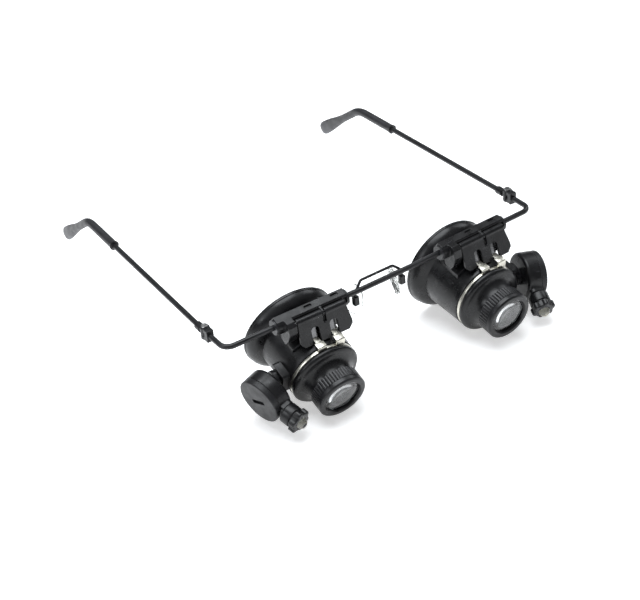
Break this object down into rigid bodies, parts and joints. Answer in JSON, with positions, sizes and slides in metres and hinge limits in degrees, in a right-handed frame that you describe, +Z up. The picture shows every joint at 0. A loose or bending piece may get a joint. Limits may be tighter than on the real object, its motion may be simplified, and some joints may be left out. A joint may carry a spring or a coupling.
{
  "type": "loupe spectacles",
  "caption": "Wire spectacle frame with two flip-up magnifiers that slide along the bar, each with an eyecup and a swivelling coin-cell lamp.",
  "frame": {"origin": "middle of the nose bridge, on the axis of the front bar", "axes": "+X along the bar to the wearer's left, +Y back over the ears, +Z up"},
  "size_m": [0.149, 0.1783, 0.0436],
  "materials": {
    "frame_wire": "satin black wire",
    "black_plastic": "satin moulded black",
    "ear_plastic": "smooth dark grey",
    "lid_plastic": "mid grey",
    "bright_metal": "bright nickel",
    "cell_steel": "satin",
    "lens_glass": "clear polished",
    "clear_pad": "clear soft",
    "led_clear": "clear"
  },
  "bodies": {
    "frame": {"front_bar": "frame_wire", "nose_bridge_wire": "frame_wire", "nose_pad_boxes": "black_plastic", "front_hinge_lugs": "frame_wire", "hinge_screws": "cell_steel"},
    "nose_pad_right": {"nose_pad_right": "clear_pad"},
    "temple_right": {"temple_knuckle_right": "frame_wire", "temple_wire_right": "frame_wire", "ear_sleeve_right": "ear_plastic"},
    "carrier_right": {"slide_bush_right": "black_plastic"},
    "magnifier_right": {"clip_body_right": "black_plastic", "flap_pin_right": "cell_steel", "eyecup_barrel_right": "black_plastic", "rear_lens_right": "lens_glass", "rear_lens_ring_right": "black_plastic", "saddle_screws_right": "cell_steel", "lamp_bracket_right": "black_plastic", "arm_pin_right": "cell_steel"},
    "front_cell_right": {"lens_flap_right": "black_plastic", "flap_spring_right": "bright_metal", "lens_holder_ring_right": "bright_metal", "front_bell_right": "black_plastic"},
    "lens_ring_right": {"knurled_ring_right": "black_plastic", "front_lens_right": "lens_glass"},
    "lamp_arm_right": {"lamp_arm_right": "black_plastic"},
    "lamp_right": {"battery_case_right": "black_plastic", "coin_cells_right": "cell_steel", "contact_spring_right": "bright_metal", "led_bulb_right": "led_clear"},
    "lid_right": {"battery_lid_right": "lid_plastic"},
    "switch_right": {"switch_collar_right": "black_plastic"},
    "nose_pad_left": {"nose_pad_left": "clear_pad"},
    "temple_left": {"temple_knuckle_left": "frame_wire", "temple_wire_left": "frame_wire", "ear_sleeve_left": "ear_plastic"},
    "carrier_left": {"slide_bush_left": "black_plastic"},
    "magnifier_left": {"clip_body_left": "black_plastic", "flap_pin_left": "cell_steel", "eyecup_barrel_left": "black_plastic", "rear_lens_left": "lens_glass", "rear_lens_ring_left": "black_plastic", "saddle_screws_left": "cell_steel", "lamp_bracket_left": "black_plastic", "arm_pin_left": "cell_steel"},
    "front_cell_left": {"lens_flap_left": "black_plastic", "flap_spring_left": "bright_metal", "lens_holder_ring_left": "bright_metal", "front_bell_left": "black_plastic"},
    "lens_ring_left": {"knurled_ring_left": "black_plastic", "front_lens_left": "lens_glass"},
    "lamp_arm_left": {"lamp_arm_left": "black_plastic"},
    "lamp_left": {"battery_case_left": "black_plastic", "coin_cells_left": "cell_steel", "contact_spring_left": "bright_metal", "led_bulb_left": "led_clear"},
    "lid_left": {"battery_lid_left": "lid_plastic"},
    "switch_left": {"switch_collar_left": "black_plastic"}
  },
  "joints": [
    {"name": "nose_pad_right_turn", "type": "hinge", "parent": "frame", "child": "nose_pad_right", "pos_m": [-0.011, 0.0019, -0.0054], "axis": [-0.3419, -0.8547, 0.3907], "range_deg": [-12, 12]},
    {"name": "temple_right_fold", "type": "hinge", "parent": "frame", "child": "temple_right", "pos_m": [-0.0695, 0.0162, 0], "axis": [-0.0262, 0, -0.9997], "range_deg": [0, 84]},
    {"name": "magnifier_right_slide", "type": "slide", "parent": "frame", "child": "carrier_right", "axis": [-0.9996, 0.0267, 0], "range_m": [-0.0035, 0.012]},
    {"name": "magnifier_right_tilt", "type": "hinge", "parent": "carrier_right", "child": "magnifier_right", "pos_m": [-0.0325, 0.00063, 0], "axis": [-0.9996, 0.0267, 0], "range_deg": [-8, 80]},
    {"name": "front_cell_right_flip", "type": "hinge", "parent": "magnifier_right", "child": "front_cell_right", "pos_m": [-0.0326, -0.00321, 0.00061], "axis": [-0.9996, 0.0267, 0], "range_deg": [0, 90]},
    {"name": "lens_ring_right_turn", "type": "hinge", "parent": "front_cell_right", "child": "lens_ring_right", "pos_m": [-0.03299, -0.01791, -0.02999], "axis": [-0.0253, -0.948, -0.3173], "range_deg": [0, 180]},
    {"name": "lamp_arm_right_swing", "type": "hinge", "parent": "magnifier_right", "child": "lamp_arm_right", "pos_m": [-0.05018, 0.0017, -0.02384], "axis": [-0.9996, 0.0267, 0], "range_deg": [-30, 30]},
    {"name": "lamp_right_turn", "type": "hinge", "parent": "lamp_arm_right", "child": "lamp_right", "pos_m": [-0.05674, -0.00059, -0.02688], "axis": [-0.9625, -0.2069, -0.1752], "range_deg": [-60, 60]},
    {"name": "lid_right_turn", "type": "hinge", "parent": "lamp_right", "child": "lid_right", "pos_m": [-0.06083, -0.00147, -0.02763], "axis": [-0.9625, -0.2069, -0.1752], "range_deg": [0, 45]},
    {"name": "switch_right_twist", "type": "hinge", "parent": "lamp_right", "child": "switch_right", "pos_m": [-0.05338, -0.01281, -0.03094], "axis": [0.2529, -0.9182, -0.3049], "range_deg": [0, 60]},
    {"name": "nose_pad_left_turn", "type": "hinge", "parent": "frame", "child": "nose_pad_left", "pos_m": [0.011, 0.0019, -0.0054], "axis": [0.3419, -0.8547, 0.3907], "range_deg": [-12, 12]},
    {"name": "temple_left_fold", "type": "hinge", "parent": "frame", "child": "temple_left", "pos_m": [0.0755, 0.0162, 0], "axis": [0.0262, 0, 0.9997], "range_deg": [0, 84]},
    {"name": "magnifier_left_slide", "type": "slide", "parent": "frame", "child": "carrier_left", "axis": [0.9996, 0.0267, 0], "range_m": [-0.012, 0.008]},
    {"name": "magnifier_left_tilt", "type": "hinge", "parent": "carrier_left", "child": "magnifier_left", "pos_m": [0.0442, 0.00078, 0], "axis": [-0.9996, -0.0267, 0], "range_deg": [-8, 80]},
    {"name": "front_cell_left_flip", "type": "hinge", "parent": "magnifier_left", "child": "front_cell_left", "pos_m": [0.0443, -0.00294, 0.00115], "axis": [-0.9996, -0.0267, 0], "range_deg": [0, 90]},
    {"name": "lens_ring_left_turn", "type": "hinge", "parent": "front_cell_left", "child": "lens_ring_left", "pos_m": [0.0448, -0.02179, -0.02708], "axis": [0.0263, -0.9832, -0.1805], "range_deg": [0, 180]},
    {"name": "lamp_arm_left_swing", "type": "hinge", "parent": "magnifier_left", "child": "lamp_arm_left", "pos_m": [0.06197, -0.00152, -0.02369], "axis": [-0.9996, -0.0267, 0], "range_deg": [-30, 30]},
    {"name": "lamp_left_turn", "type": "hinge", "parent": "lamp_arm_left", "child": "lamp_left", "pos_m": [0.06854, -0.00421, -0.02635], "axis": [0.9631, -0.2293, -0.1407], "range_deg": [-60, 60]},
    {"name": "lid_left_turn", "type": "hinge", "parent": "lamp_left", "child": "lid_left", "pos_m": [0.07264, -0.00518, -0.02695], "axis": [0.9631, -0.2293, -0.1407], "range_deg": [0, 45]},
    {"name": "switch_left_twist", "type": "hinge", "parent": "lamp_left", "child": "switch_left", "pos_m": [0.06499, -0.01584, -0.03173], "axis": [-0.2673, -0.8748, -0.4041], "range_deg": [0, 60]}
  ]
}
